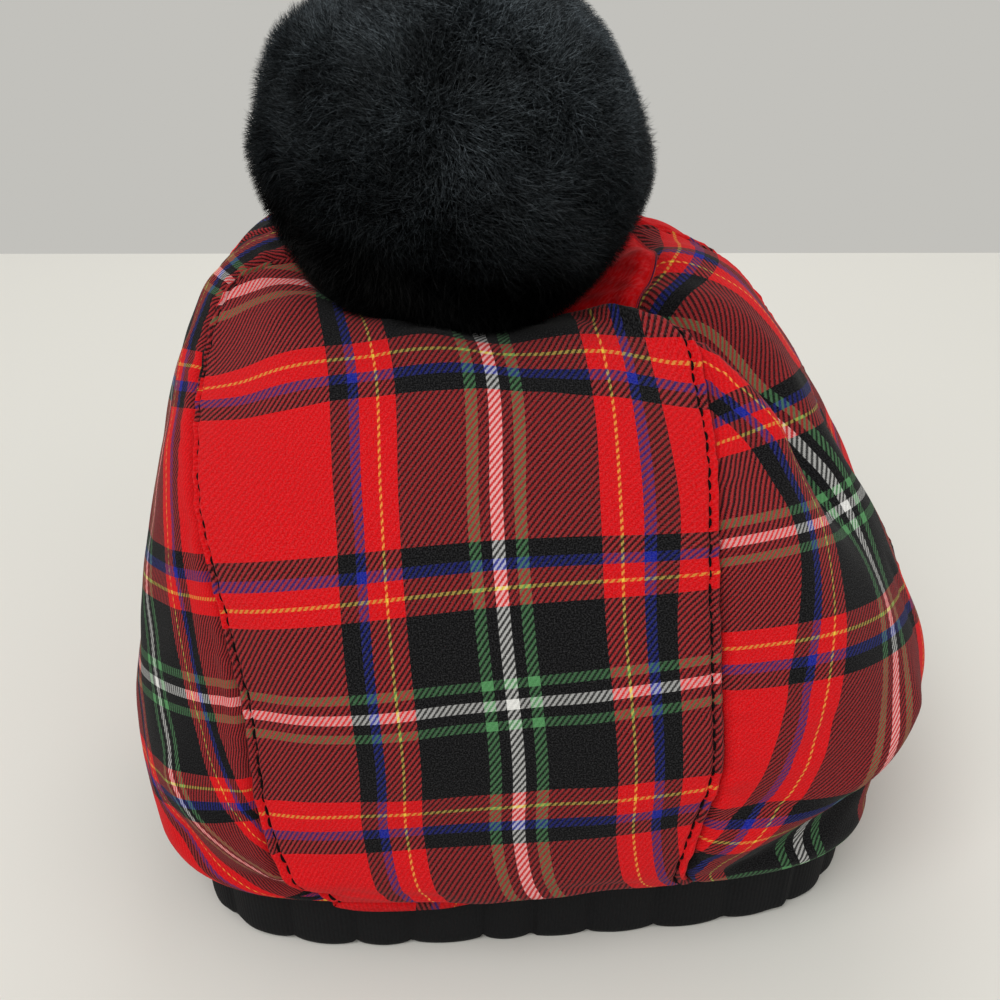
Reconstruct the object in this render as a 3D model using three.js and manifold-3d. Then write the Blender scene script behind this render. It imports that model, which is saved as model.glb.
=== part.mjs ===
// Tam o shanter: a soft six-panel tartan crown on a gathered elastic band, with a fur pompom on top.
// Millimetres. +Z is up, -Y is the front, +X is the right-hand side of the hat seen from the front.
import * as THREE from "three";
import { mergeVertices } from "three/addons/utils/BufferGeometryUtils.js";
import Module from "manifold-3d";

// Driving sizes of the band.
const BAND_WIDTH = 188;
const BAND_DEPTH = 132;
const BAND_HEIGHT = 25;
const BAND_THICKNESS = 3;
const BAND_SQUARENESS = 4.2;
const GATHER_COUNT = 38;
const GATHER_DEPTH = 1.3;

// The band sits a little askew under the crown: to the right and back of its middle, and turned.
const BAND_RIGHT = 1.1;
const BAND_BACK = 1.2;
const BAND_TURN_DEGREES = 4.2;

// Driving sizes of the crown.
const CROWN_WIDTH = 226;
const CROWN_DEPTH = 192;
const CROWN_RISE = 135;
const CLOTH_THICKNESS = 1.6;
const HEM_OVERHANG = 4.2;
const HEM_DROP = 0.5;
const PANEL_PUFF = 2.6;
// How far a seam lies below the plain surface, as a share of the puff.
const SEAM_SINK = 0.6;
const SEAM_GAP = 0.4;
const CENTRE_HOLE_RADIUS = 3;

// Driving sizes of the pompom.
const POMPOM_WIDTH = 108;
const POMPOM_HEIGHT = 102;
const LOCK_COUNT = 64;
const LOCK_LENGTH = 6;
const LOCK_WIDTH = 38;
const POMPOM_SEAT = 0.8;
// How far the pompom leans forward of the crown's middle, as a share of half the crown's depth.
const POMPOM_FORWARD = 0.04;

// Clearance between the band's top edge and the hem that lies on it.
const HEM_GAP = 0.3;

// The crown in rings from the hem to its middle. Side, front and back are shares of half the
// crown's width or depth, measured from the middle of the band; up is a share of the crown's rise.
// Square is the exponent of the ring's outline: 2 is an ellipse, more is a rounded box. Turn is how
// far the ring follows the askew band, in degrees.
const LEVELS = [
  {
    left: 0.925, right: 0.905, front: 0.77, back: 0.92, square: 3.3, turn: 3,
    upFront: 0.05, upRight: 0.075, upBack: 0.1, upLeft: 0.06,
  },
  {
    left: 0.955, right: 0.99, front: 0.74, back: 1.08, square: 3.1, turn: 1.5,
    upFront: 0.17, upRight: 0.18, upBack: 0.23, upLeft: 0.18,
  },
  {
    left: 0.935, right: 1.03, front: 0.7, back: 1.18, square: 2.9, turn: 0,
    upFront: 0.3, upRight: 0.285, upBack: 0.38, upLeft: 0.33,
  },
  {
    left: 0.91, right: 0.955, front: 0.61, back: 1.23, square: 2.7, turn: 0,
    upFront: 0.465, upRight: 0.44, upBack: 0.56, upLeft: 0.51,
  },
  {
    left: 0.875, right: 0.835, front: 0.45, back: 1.22, square: 2.5, turn: 0,
    upFront: 0.65, upRight: 0.6, upBack: 0.74, upLeft: 0.69,
  },
  {
    left: 0.81, right: 0.71, front: 0.25, back: 1.13, square: 2.3, turn: 0,
    upFront: 0.83, upRight: 0.77, upBack: 0.9, upLeft: 0.85,
  },
  {
    left: 0.71, right: 0.55, front: 0.04, back: 0.99, square: 2.15, turn: 0,
    upFront: 0.905, upRight: 0.91, upBack: 1, upLeft: 0.96,
  },
  {
    left: 0.54, right: 0.33, front: -0.14, back: 0.82, square: 2, turn: 0,
    upFront: 0.885, upRight: 0.95, upBack: 0.99, upLeft: 0.98,
  },
  {
    left: 0.34, right: 0.08, front: -0.31, back: 0.66, square: 2, turn: 0,
    upFront: 0.83, upRight: 0.86, upBack: 0.88, upLeft: 0.88,
  },
];
const MIDDLE = { left: 0.146, back: 0.49, up: 0.8, square: 2 };
// How many levels climb the crown's side, as a measure of its length.
const LEVELS_UP_THE_SIDE = 7;

// The six seams, by their bearing in degrees from the front at every second level, hem to middle.
const LEVELS_PER_SEAM_ROW = 2;
const SEAMS = [
  { name: "front_left", bearing: [-28, -28.5, -33.5, -41.5, -61, -80, -82] },
  { name: "front_right", bearing: [22, 22, 21.2, 25, 37.5, 50, 50] },
  { name: "right_back", bearing: [74, 73.5, 74, 81, 103, 125, 127] },
  { name: "back_right", bearing: [140, 140, 141, 145, 151, 160, 162] },
  { name: "back_left", bearing: [202, 202, 203, 205, 207, 208, 208] },
  { name: "left_back", bearing: [260, 260, 261, 262, 260, 254, 252] },
];
const PANELS = [
  "front_panel", "right_panel", "back_right_panel", "back_panel", "back_left_panel", "left_panel",
];

// Folds of the soft crown, each along a line between two places given by bearing and level.
// Width and height are shares of the crown's rise; a negative height is a crease.
const FOLDS = [
  {
    fold: "crease behind the front roll",
    bearing: [51, 62], level: [10.3, 7.3], width: 0.09, height: -0.085,
  },
  {
    fold: "front roll",
    bearing: [38, 46], level: [9.5, 7.8], width: 0.06, height: 0.035,
  },
  {
    fold: "crease over the right hem",
    bearing: [30, 56], level: [2.9, 3.9], width: 0.06, height: -0.03,
  },
  {
    fold: "fold over the right hem",
    bearing: [26, 52], level: [3.7, 4.9], width: 0.05, height: 0.02,
  },
  {
    fold: "crease over the left hem",
    bearing: [-46, -29], level: [3.3, 2.6], width: 0.04, height: -0.02,
  },
  {
    fold: "fold over the left hem",
    bearing: [-46, -28], level: [4.1, 3.2], width: 0.04, height: 0.015,
  },
  {
    fold: "right back crease",
    bearing: [100, 116], level: [3, 6.5], width: 0.07, height: -0.03,
  },
  {
    fold: "back sag",
    bearing: [150, 200], level: [3.2, 3.6], width: 0.08, height: -0.03,
  },
  {
    fold: "back left crease",
    bearing: [232, 222], level: [3, 7], width: 0.07, height: -0.03,
  },
  {
    fold: "left sag",
    bearing: [-66, -84], level: [2.8, 4.4], width: 0.06, height: -0.02,
  },
];

// The levels over which folds and puffs grow in above the hem and die out near the middle.
const FADE_IN = { from: 1.9, to: 3 };
const FADE_OUT = { from: 10, to: 11.5 };

// How finely the cloth and the band are divided, and the steps that slopes are taken over.
const COLUMNS_PER_PANEL = 12;
const ROWS_PER_LEVEL = 2;
const STEPS_PER_GATHER = 4;
const FINE_STEP = 1e-3;
const COARSE_STEP = 1e-2;

// How much shallower the gathers are at the band's top edge, as a share of their depth.
const GATHER_FADE = 0.6;

// The pompom's ball and locks: their sides, and a lock's whole length in lengths that show.
const BALL_SIDES = 16;
const BALL_ROWS = 10;
const LOCK_SIDES = 5;
const LOCK_ROOT = 2;

const LAST_LEVEL = LEVELS.length + 3;

const radians = THREE.MathUtils.degToRad;
const lerp = THREE.MathUtils.lerp;

// Middle line of the band's section, half its width and half its depth.
const bandHalfWidth = (BAND_WIDTH - BAND_THICKNESS) / 2;
const bandHalfDepth = (BAND_DEPTH - BAND_THICKNESS) / 2;

// The rings in millimetres: the hem on the band's top edge, its rolled lip, then the levels.
function ringTable() {
  const edge = BAND_THICKNESS / 2 + HEM_GAP;
  const lip = BAND_THICKNESS / 2 + HEM_OVERHANG;
  const hem = BAND_HEIGHT + HEM_GAP;
  const halfWidth = CROWN_WIDTH / 2;
  const halfDepth = CROWN_DEPTH / 2;
  const flat = (grow, up) => [
    bandHalfWidth + grow - BAND_RIGHT, bandHalfWidth + grow + BAND_RIGHT,
    bandHalfDepth + grow - BAND_BACK, bandHalfDepth + grow + BAND_BACK,
    up, up, up, up, BAND_SQUARENESS, BAND_TURN_DEGREES,
  ];
  const rows = LEVELS.map((r) => [
    r.left * halfWidth, r.right * halfWidth, r.front * halfDepth, r.back * halfDepth,
    BAND_HEIGHT + r.upFront * CROWN_RISE, BAND_HEIGHT + r.upRight * CROWN_RISE,
    BAND_HEIGHT + r.upBack * CROWN_RISE, BAND_HEIGHT + r.upLeft * CROWN_RISE, r.square, r.turn,
  ]);
  const middleLeft = MIDDLE.left * halfWidth;
  const middleBack = MIDDLE.back * halfDepth;
  const middleUp = BAND_HEIGHT + MIDDLE.up * CROWN_RISE;
  const middle = [
    middleLeft, -middleLeft, -middleBack, middleBack,
    middleUp, middleUp, middleUp, middleUp, MIDDLE.square, 0,
  ];
  return [flat(0, hem), flat(edge, hem), flat(lip, hem - HEM_DROP), ...rows, middle];
}
const RINGS = ringTable();

// A smooth curve through the rows of a table, at a place counted in rows.
function between(rows, place) {
  const last = rows.length - 1;
  const i = Math.min(Math.max(Math.floor(place), 0), last - 1);
  const f = place - i;
  const row = (k) => rows[Math.min(Math.max(k, 0), last)];
  const [a, b, c, d] = [row(i - 1), row(i), row(i + 1), row(i + 2)];
  return b.map((value, n) => {
    const step = c[n] - value;
    const slopeIn = i === 0 ? step : (c[n] - a[n]) / 2;
    const slopeOut = i === last - 1 ? step : (d[n] - value) / 2;
    return (
      value + f * (slopeIn + f * (3 * step - 2 * slopeIn - slopeOut + f * (slopeIn + slopeOut - 2 * step)))
    );
  });
}

// A seam's bearing at a level. Seam numbers past the last go round once more.
function seamBearing(seam, level) {
  const turns = Math.floor(seam / SEAMS.length);
  const rows = SEAMS[seam - turns * SEAMS.length].bearing.map((degrees) => [radians(degrees)]);
  return between(rows, level / LEVELS_PER_SEAM_ROW)[0] + turns * 2 * Math.PI;
}

// A point on a ring seen from above: a rounded box from its reach to each side, turned.
function ringPoint(left, right, front, back, square, turnDegrees, bearing) {
  const s = Math.sin(bearing);
  const c = Math.cos(bearing);
  const reach = (Math.abs(s) ** square + Math.abs(c) ** square) ** (-1 / square);
  const across = (right - left) / 2 + ((right + left) / 2) * reach * s;
  const deep = (back - front) / 2 - ((back + front) / 2) * reach * c;
  return new THREE.Vector2(across, deep).rotateAround(new THREE.Vector2(), radians(turnDegrees));
}

// A point on the crown's plain outer surface, before puffs and folds.
function plainPoint(bearing, level) {
  const ring = between(RINGS, level);
  const [left, right, front, back, upFront, upRight, upBack, upLeft, square, turn] = ring;
  const mean = (upFront + upRight + upBack + upLeft) / 4;
  const tilt = ((upFront - upBack) * Math.cos(bearing) + (upRight - upLeft) * Math.sin(bearing)) / 2;
  const saddle = ((upFront + upBack - upRight - upLeft) / 4) * Math.cos(2 * bearing);
  const seenFromAbove = ringPoint(left, right, front, back, square, turn, bearing);
  return new THREE.Vector3(seenFromAbove.x, seenFromAbove.y, mean + tilt + saddle);
}

// How far a fold lifts the cloth at a place. Places are laid out flat, so that the distance to the
// fold's line is about its length on the cloth.
const lengthPerRadian = (CROWN_WIDTH + CROWN_DEPTH) / 4;
const lengthPerLevel = CROWN_RISE / LEVELS_UP_THE_SIDE;
function foldHeight(fold, bearing, level) {
  const laidOut = (turn, height) => new THREE.Vector2(turn * lengthPerRadian, height * lengthPerLevel);
  const from = laidOut(radians(fold.bearing[0]), fold.level[0]);
  const to = laidOut(radians(fold.bearing[1]), fold.level[1]);
  const middle = radians((fold.bearing[0] + fold.bearing[1]) / 2);
  const turns = Math.round((middle - bearing) / (2 * Math.PI));
  const place = laidOut(bearing + turns * 2 * Math.PI, level);
  const line = to.clone().sub(from);
  const along = THREE.MathUtils.clamp(place.clone().sub(from).dot(line) / line.lengthSq(), 0, 1);
  const distance = place.distanceTo(from.addScaledVector(line, along));
  return fold.height * CROWN_RISE * Math.exp(-((distance / (fold.width * CROWN_RISE)) ** 2));
}

// Folds and puffs fade out towards the hem and towards the middle of the crown.
function fade(level) {
  const grown = THREE.MathUtils.smoothstep(level, FADE_IN.from, FADE_IN.to);
  const gone = THREE.MathUtils.smoothstep(level, FADE_OUT.from, FADE_OUT.to);
  return grown * (1 - gone);
}

// How far each panel stands proud between its seams: most in its middle, sunk at the seams.
function puffHeight(share) {
  return PANEL_PUFF * (Math.sqrt(Math.max(0, 4 * share * (1 - share))) - SEAM_SINK);
}

const pompomCentre = new THREE.Vector3(
  -MIDDLE.left * (CROWN_WIDTH / 2),
  (MIDDLE.back - POMPOM_FORWARD) * (CROWN_DEPTH / 2),
  BAND_HEIGHT + MIDDLE.up * CROWN_RISE + POMPOM_SEAT + POMPOM_HEIGHT / 2,
);

// The pompom presses the crown down, so the cloth stays below its underside.
function pressed(point) {
  const sideways = Math.hypot(point.x - pompomCentre.x, point.y - pompomCentre.y) / (POMPOM_WIDTH / 2);
  if (sideways >= 1) return point;
  const underside = pompomCentre.z - (POMPOM_HEIGHT / 2) * Math.sqrt(1 - sideways * sideways);
  point.z = Math.min(point.z, underside - POMPOM_SEAT);
  return point;
}

// A point on the crown's outer surface. Share is the place across the panel, 0 and 1 at its seams.
function crownPoint(panel, share, level) {
  const bearing = lerp(seamBearing(panel, level), seamBearing(panel + 1, level), share);
  const point = plainPoint(bearing, level);
  const across = plainPoint(bearing + FINE_STEP, level).sub(point);
  const upwards = plainPoint(bearing, Math.min(level + FINE_STEP, LAST_LEVEL - FINE_STEP)).sub(point);
  const normal = across.cross(upwards).normalize();
  const lift = FOLDS.reduce((sum, fold) => sum + foldHeight(fold, bearing, level), puffHeight(share));
  return pressed(point.addScaledVector(normal, lift * fade(level)));
}

// The outward normal of the finished surface, from its own slopes.
function crownNormal(panel, share, level) {
  const sideStep = share > 0.5 ? -COARSE_STEP : COARSE_STEP;
  const levelStep = level > 1 ? -COARSE_STEP : COARSE_STEP;
  const point = crownPoint(panel, share, level);
  const across = crownPoint(panel, share + sideStep, level).sub(point).divideScalar(sideStep);
  const upwards = crownPoint(panel, share, level + levelStep).sub(point).divideScalar(levelStep);
  return across.cross(upwards).normalize();
}

// The level at which the panels stop short of the crown's middle.
function lastLevel() {
  const ring = RINGS[LAST_LEVEL - 1];
  const radius = (ring[0] + ring[1] + ring[2] + ring[3]) / 4;
  return LAST_LEVEL - CENTRE_HOLE_RADIUS / radius;
}

// A closed body from two matching grids of points, the outer face and the inner one.
function shellGeometry(outer, inner) {
  const rows = outer.length;
  const columns = outer[0].length;
  const points = [...outer.flat(), ...inner.flat()];
  const at = (side, i, j) => side * rows * columns + i * columns + j;
  const index = [];
  const quad = (a, b, c, d) => index.push(a, b, c, a, c, d);
  for (let i = 0; i < rows - 1; i += 1) {
    for (let j = 0; j < columns - 1; j += 1) {
      quad(at(0, i, j), at(0, i, j + 1), at(0, i + 1, j + 1), at(0, i + 1, j));
      quad(at(1, i, j), at(1, i + 1, j), at(1, i + 1, j + 1), at(1, i, j + 1));
    }
    quad(at(0, i, 0), at(0, i + 1, 0), at(1, i + 1, 0), at(1, i, 0));
    quad(at(0, i, columns - 1), at(1, i, columns - 1), at(1, i + 1, columns - 1), at(0, i + 1, columns - 1));
  }
  for (let j = 0; j < columns - 1; j += 1) {
    quad(at(0, 0, j), at(1, 0, j), at(1, 0, j + 1), at(0, 0, j + 1));
    quad(at(0, rows - 1, j), at(0, rows - 1, j + 1), at(1, rows - 1, j + 1), at(1, rows - 1, j));
  }
  const geometry = new THREE.BufferGeometry();
  geometry.setAttribute("position", new THREE.Float32BufferAttribute(points.flatMap((p) => p.toArray()), 3));
  geometry.setIndex(index);
  geometry.computeVertexNormals();
  return geometry;
}

// One crown panel: a cloth shell between two seams, from the hem to the crown's middle.
function panelGeometry(panel) {
  const end = lastLevel();
  const levels = [0, 1];
  for (let i = 0; i <= (LAST_LEVEL - 3) * ROWS_PER_LEVEL; i += 1) levels.push(2 + i / ROWS_PER_LEVEL);
  levels.push((levels.at(-1) + end) / 2, end);
  const outer = [];
  const inner = [];
  for (const level of levels) {
    const seamToSeam = plainPoint(seamBearing(panel, level), level)
      .distanceTo(plainPoint(seamBearing(panel + 1, level), level));
    const margin = SEAM_GAP / 2 / seamToSeam;
    const outerRow = [];
    const innerRow = [];
    for (let j = 0; j <= COLUMNS_PER_PANEL; j += 1) {
      const share = lerp(margin, 1 - margin, j / COLUMNS_PER_PANEL);
      const point = crownPoint(panel, share, level);
      outerRow.push(point);
      innerRow.push(point.clone().addScaledVector(crownNormal(panel, share, level), -CLOTH_THICKNESS));
    }
    outer.push(outerRow);
    inner.push(innerRow);
  }
  return shellGeometry(outer, inner);
}

// A point of the band, with its gathers as soft waves. Up is the height share, 0 at the floor.
function bandPoint(bearing, outward, up) {
  const wave = (1 - Math.cos(bearing * GATHER_COUNT)) / 2;
  const inward = GATHER_DEPTH * wave * (1 - GATHER_FADE * up) - outward * BAND_THICKNESS / 2;
  const halfWidth = bandHalfWidth - inward;
  const halfDepth = bandHalfDepth - inward;
  const seenFromAbove = ringPoint(
    halfWidth - BAND_RIGHT, halfWidth + BAND_RIGHT, halfDepth - BAND_BACK, halfDepth + BAND_BACK,
    BAND_SQUARENESS, BAND_TURN_DEGREES, bearing,
  );
  return new THREE.Vector3(seenFromAbove.x, seenFromAbove.y, up * BAND_HEIGHT);
}

// The gathered band: a closed ring that stands on its flat lower edge.
function bandGeometry() {
  const section = [
    { outward: -1, up: 0 }, { outward: 1, up: 0 }, { outward: 1, up: 0.5 }, { outward: 1, up: 1 },
    { outward: -1, up: 1 }, { outward: -1, up: 0.5 },
  ];
  const steps = GATHER_COUNT * STEPS_PER_GATHER;
  const points = [];
  const index = [];
  for (let i = 0; i < steps; i += 1) {
    const bearing = (i / steps) * 2 * Math.PI;
    for (const { outward, up } of section) points.push(...bandPoint(bearing, outward, up).toArray());
    for (let k = 0; k < section.length; k += 1) {
      const next = (k + 1) % section.length;
      const here = i * section.length;
      const there = ((i + 1) % steps) * section.length;
      index.push(here + k, there + k, there + next, here + k, there + next, here + next);
    }
  }
  const geometry = new THREE.BufferGeometry();
  geometry.setAttribute("position", new THREE.Float32BufferAttribute(points, 3));
  geometry.setIndex(index);
  geometry.computeVertexNormals();
  return geometry;
}

// The pompom: a ball of fur with short locks standing out of it, joined into one body.
async function pompomGeometry() {
  const wasm = await Module();
  wasm.setup();
  const solid = (geometry) => {
    geometry.deleteAttribute("normal");
    geometry.deleteAttribute("uv");
    const merged = mergeVertices(geometry, 1e-3);
    return new wasm.Manifold(new wasm.Mesh({
      numProp: 3,
      vertProperties: merged.attributes.position.array,
      triVerts: new Uint32Array(merged.index.array),
    }));
  };
  const half = new THREE.Vector3(POMPOM_WIDTH / 2, POMPOM_WIDTH / 2, POMPOM_HEIGHT / 2);
  const headHalf = half.clone().subScalar(LOCK_LENGTH);
  const head = new THREE.SphereGeometry(1, BALL_SIDES, BALL_ROWS).scale(headHalf.x, headHalf.y, headHalf.z);
  let body = solid(head);
  const goldenAngle = Math.PI * (3 - Math.sqrt(5));
  for (let i = 0; i < LOCK_COUNT; i += 1) {
    const height = 1 - (2 * i + 1) / LOCK_COUNT;
    const round = Math.sqrt(1 - height * height);
    const outward = new THREE.Vector3(
      round * Math.cos(i * goldenAngle), round * Math.sin(i * goldenAngle), height,
    );
    const tip = outward.clone().multiply(half);
    const lock = new THREE.ConeGeometry(LOCK_WIDTH / 2, LOCK_LENGTH * LOCK_ROOT, LOCK_SIDES);
    lock.translate(0, (-LOCK_LENGTH * LOCK_ROOT) / 2, 0);
    lock.applyQuaternion(new THREE.Quaternion().setFromUnitVectors(new THREE.Vector3(0, 1, 0), outward));
    lock.translate(tip.x, tip.y, tip.z);
    body = body.add(solid(lock));
  }
  const mesh = body.getMesh();
  const geometry = new THREE.BufferGeometry();
  geometry.setAttribute("position", new THREE.BufferAttribute(mesh.vertProperties, 3));
  geometry.setIndex(new THREE.BufferAttribute(mesh.triVerts, 1));
  geometry.computeVertexNormals();
  return geometry;
}

const tartan = new THREE.MeshStandardMaterial({ color: 0x8c1c1e, roughness: 0.9, metalness: 0 });
const elastic = new THREE.MeshStandardMaterial({ color: 0x141416, roughness: 0.85, metalness: 0 });
const fur = new THREE.MeshStandardMaterial({ color: 0x0c0c0e, roughness: 0.8, metalness: 0 });

function named(name, geometry, material) {
  const mesh = new THREE.Mesh(geometry, material);
  mesh.name = name;
  return mesh;
}

const hat = new THREE.Group();
hat.name = "tam_o_shanter";
PANELS.forEach((name, panel) => hat.add(named(name, panelGeometry(panel), tartan.clone())));
hat.add(named("band", bandGeometry(), elastic));
const pompom = named("pompom", await pompomGeometry(), fur);
pompom.position.copy(pompomCentre);
hat.add(pompom);

// The origin is on the floor, under the middle of the hat's outline.
const middleOfOutline = new THREE.Box3().setFromObject(hat, true).getCenter(new THREE.Vector3());
for (const piece of hat.children) {
  piece.position.x -= middleOfOutline.x;
  piece.position.y -= middleOfOutline.y;
}

export default hat;
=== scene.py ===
"""Looks of the tartan hat: cloth gores, topstitching, gathered band and fur pompom."""

import math

import bpy
import numpy as np
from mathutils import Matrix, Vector
from mathutils.kdtree import KDTree


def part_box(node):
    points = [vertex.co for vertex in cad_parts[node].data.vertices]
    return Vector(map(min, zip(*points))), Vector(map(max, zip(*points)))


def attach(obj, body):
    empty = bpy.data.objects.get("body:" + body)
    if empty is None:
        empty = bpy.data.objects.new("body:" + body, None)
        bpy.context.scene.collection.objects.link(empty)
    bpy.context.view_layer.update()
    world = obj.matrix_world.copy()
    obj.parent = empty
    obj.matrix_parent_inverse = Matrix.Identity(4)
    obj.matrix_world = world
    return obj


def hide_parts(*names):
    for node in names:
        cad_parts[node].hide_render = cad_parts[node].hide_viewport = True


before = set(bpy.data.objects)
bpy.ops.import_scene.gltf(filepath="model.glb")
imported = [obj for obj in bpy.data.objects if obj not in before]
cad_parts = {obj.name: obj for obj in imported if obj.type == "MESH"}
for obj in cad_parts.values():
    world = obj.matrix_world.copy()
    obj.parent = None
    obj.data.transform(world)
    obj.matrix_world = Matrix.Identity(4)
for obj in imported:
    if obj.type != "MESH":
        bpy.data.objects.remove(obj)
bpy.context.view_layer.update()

MM = 0.001

# The camera: its tilt in degrees, its distance in m, its lens in mm, and where it looks, in m from the
# crown's middle.
CAMERA_TILT, CAMERA_DISTANCE, CAMERA_LENS = 31.0, 0.3102, 37.44
CAMERA_AIM = (-0.0042, 0.0212, 0.0874)

# The hat's sizes, in mm, as in the part.
BAND_WIDTH, BAND_DEPTH, BAND_HEIGHT, BAND_THICKNESS = 188, 132, 25, 3
BAND_SQUARENESS = 4.2
BAND_RIGHT, BAND_BACK, BAND_TURN = 1.1, 1.2, 4.2
CROWN_WIDTH, CROWN_DEPTH, CROWN_RISE = 226, 192, 135
CLOTH_THICKNESS = 1.6
HEM_OVERHANG, HEM_DROP, HEM_GAP = 4.2, 0.5, 0.3
POMPOM_WIDTH, POMPOM_HEIGHT, POMPOM_SEAT = 108, 102, 0.8
POMPOM_FORWARD = 0.04
GATHER_COUNT = 38
BAND_GIRTH = 567

# Rings of the crown: left, right, front, back, height at the front, right, back and left, squareness,
# and how far the ring follows the askew band, in degrees.
LEVELS = np.array([
    [0.925, 0.905, 0.77, 0.92, 0.05, 0.075, 0.1, 0.06, 3.3, 3],
    [0.955, 0.99, 0.74, 1.08, 0.17, 0.18, 0.23, 0.18, 3.1, 1.5],
    [0.935, 1.03, 0.7, 1.18, 0.3, 0.285, 0.38, 0.33, 2.9, 0],
    [0.91, 0.955, 0.61, 1.23, 0.465, 0.44, 0.56, 0.51, 2.7, 0],
    [0.875, 0.835, 0.45, 1.22, 0.65, 0.6, 0.74, 0.69, 2.5, 0],
    [0.81, 0.71, 0.25, 1.13, 0.83, 0.77, 0.9, 0.85, 2.3, 0],
    [0.71, 0.55, 0.04, 0.99, 0.905, 0.91, 1, 0.96, 2.15, 0],
    [0.54, 0.33, -0.14, 0.82, 0.885, 0.95, 0.99, 0.98, 2, 0],
    [0.34, 0.08, -0.31, 0.66, 0.83, 0.86, 0.88, 0.88, 2, 0],
])
MIDDLE_LEFT, MIDDLE_BACK, MIDDLE_UP = 0.146, 0.49, 0.8

# Bearing of each seam, in degrees from the front and turning right, at every second level.
SEAMS = np.array([
    [-28, -28.5, -33.5, -41.5, -61, -80, -82],
    [22, 22, 21.2, 25, 37.5, 50, 50],
    [74, 73.5, 74, 81, 103, 125, 127],
    [140, 140, 141, 145, 151, 160, 162],
    [202, 202, 203, 205, 207, 208, 208],
    [260, 260, 261, 262, 260, 254, 252],
], float)
PANELS = ["front_panel", "right_panel", "back_right_panel", "back_panel", "back_left_panel", "left_panel"]

# Folds: bearing from and to, level from and to, width and height as shares of the rise.
FOLDS = np.array([
    [51, 62, 10.3, 7.3, 0.09, -0.085],
    [38, 46, 9.5, 7.8, 0.06, 0.035],
    [30, 56, 2.9, 3.9, 0.06, -0.03],
    [26, 52, 3.7, 4.9, 0.05, 0.02],
    [-46, -29, 3.3, 2.6, 0.04, -0.02],
    [-46, -28, 4.1, 3.2, 0.04, 0.015],
    [100, 116, 3, 6.5, 0.07, -0.03],
    [150, 200, 3.2, 3.6, 0.08, -0.03],
    [232, 222, 3, 7, 0.07, -0.03],
    [-66, -84, 2.8, 4.4, 0.06, -0.02],
])

# Slight creases of the cloth, as in FOLDS.
CREASES = np.array([
    [31, 35, 6.1, 5.6, 0.016, -0.006],
    [31, 37, 5.0, 5.35, 0.016, -0.006],
    [27, 33, 6.6, 6.2, 0.02, -0.005],
    [28, 38, 4.3, 4.1, 0.018, -0.006],
    [-24, -12, 3.0, 2.9, 0.02, -0.006],
    [2, 14, 3.05, 2.95, 0.02, -0.005],
    [-40, -44, 5.2, 6.1, 0.018, -0.005],
    [-50, -47, 6.6, 5.7, 0.02, -0.006],
    [-18, -10, 9.1, 9.3, 0.02, -0.006],
    [60, 66, 5.0, 6.0, 0.02, -0.006],
    [120, 128, 4.2, 5.4, 0.025, -0.008],
    [226, 232, 4.5, 6, 0.025, -0.008],
])

# Stripes of the tartan from the middle of the white line to the middle of the wide red: colour, width
# across and width along, in mm. Then the pitch of its yarns, in mm, and their dyes.
SETT = [
    ("white", 1.35, 1.3), ("black", 2.6, 2.6), ("green", 2.9, 2.5), ("black", 16.4, 17.3),
    ("red", 4.0, 3.8), ("yellow", 0.75, 0.85), ("red", 4.0, 3.8), ("blue", 2.5, 2.6),
    ("black", 4.3, 4.3), ("red", 17.3, 18.2),
]
END_PITCH, PICK_PITCH = 0.37, 0.46
DYES = {
    "red": (0.62, 0.008, 0.012), "black": (0.007, 0.007, 0.008), "green": (0.085, 0.26, 0.1),
    "white": (0.74, 0.74, 0.72), "yellow": (0.8, 0.52, 0.05), "blue": (0.015, 0.022, 0.27),
}

# How the cloth lies in each gore: a row for each LAY_STEP up the middle of the gore, in mm, with
# the lean of the ends, the slope and bow of the picks, their lift, and the spread, squeeze and curl
# of the ends. Slope, bow, spread, squeeze and curl are what they come to LAY_REACH from the middle.
# Before the rows stands the white line's place across and up.
LAY_STEP, LAY_REACH = 40, 50
LAYS = {
    "front_panel": (11.5, 69.5, [
        [-0.5, 0.5, 1.5, -8, -0.5, 3.5, -3.5],
        [-3, 5, -1, -5, -0.5, 1.5, -1.5],
        [-0.5, 9, -2.5, -2.5, -1, -0.5, 2.5],
        [4.5, 8, -4, -3, -1.5, -1, 5],
        [6.5, 9.5, -8.5, -5, 2.5, -3, 2.5],
        [-3, 12.5, -4, -16.5, 10, -2, 1.5],
    ]),
    "right_panel": (5, 110.5, [
        [-29, -8, -2, -11.5, -0.5, 1.5, -2.5],
        [-16, -8.5, -4.5, -4, 1.5, 1, -1],
        [-0.5, -11, -4.5, 1.5, 3, 0.5, 0],
        [4.5, -12, -5.5, -1, 3, 1, 0],
        [-23, -11, -7, -4.5, 2, 2, -1],
        [-34.5, -14.5, -5, -5.5, 1, 1.5, -1],
        [-45.5, -16, -2, -8, 0, 1, -1],
    ]),
    "back_right_panel": (38, 22.5, [[0, 2.5, 0, 0, 0, 0, 0], [0, 2.5, 0, 0, 0, 0, 0]]),
    "back_panel": (9, 84, [[0, 0, 0, 0, 0, 0, 0], [0, 1.5, 0, 0, 0, 0, 0]]),
    "back_left_panel": (-20, 70, [[0, -2, 0, 0, 0, 0, 0], [0, -2, 0, 0, 0, 0, 0]]),
    "left_panel": (24, 53.5, [
        [74, 27, -2, -13, 3, 1, -1],
        [28, 23, -4, -3, -2, -4, -8],
        [-7, 20, -3, 2, -4, -6, -9],
        [-27, 19, -1, 3, -3, -6, -8],
        [-46, 18, 0, 2, -2, -4, -4],
        [-64, 16, 1, 1, 0, -1, 0],
    ]),
}

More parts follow.
